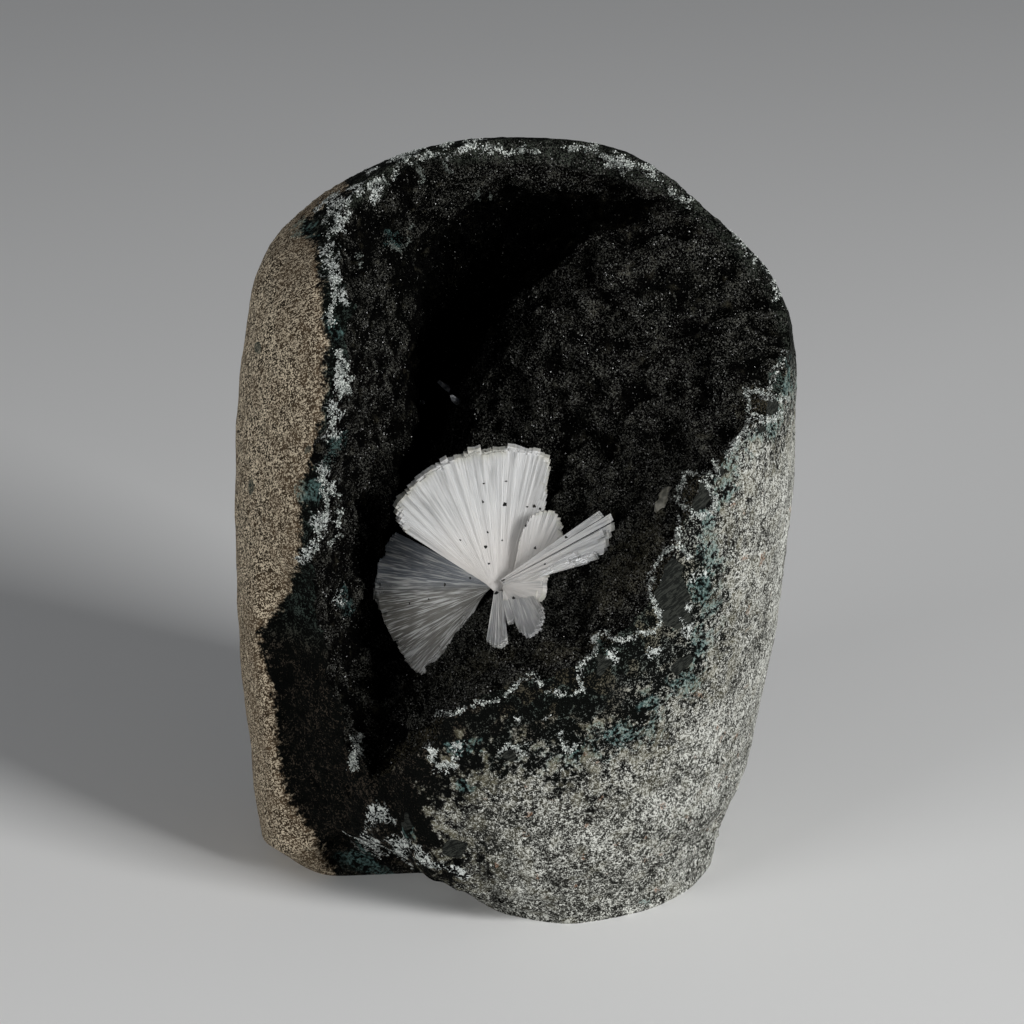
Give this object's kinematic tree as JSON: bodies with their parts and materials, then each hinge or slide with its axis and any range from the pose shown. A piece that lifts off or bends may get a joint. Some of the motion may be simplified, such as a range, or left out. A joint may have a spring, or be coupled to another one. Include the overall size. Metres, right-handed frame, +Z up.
{
  "type": "stilbite mineral specimen",
  "caption": "White stilbite sheaf standing in the dark druse-lined vug of a worn, upright piece of basalt.",
  "frame": {"origin": "middle of the rock's footprint, on the ground it stands on", "axes": "+Z up; the vug opens towards -Y, and +X is to the right as seen from its open side"},
  "size_m": [0.0852, 0.083, 0.1124],
  "materials": {
    "basalt": "ground and weathered, rough, speckled grey with a tan skin on the left",
    "druse": "sugary dark crystals with fine glints, pale and teal at the rim",
    "stilbite": "silky to pearly white, fine radiating striations",
    "clear_crystal": "clear to milky, glossy",
    "pale_crystal": "smooth, waxy, slightly translucent beige"
  },
  "bodies": {
    "root": {"basalt": "basalt", "vug_lining": "druse", "stilbite": "stilbite", "channel_crystal_left": "clear_crystal", "channel_crystal_middle": "clear_crystal", "channel_crystal_right": "clear_crystal", "pale_crystal": "pale_crystal"}
  },
  "joints": []
}
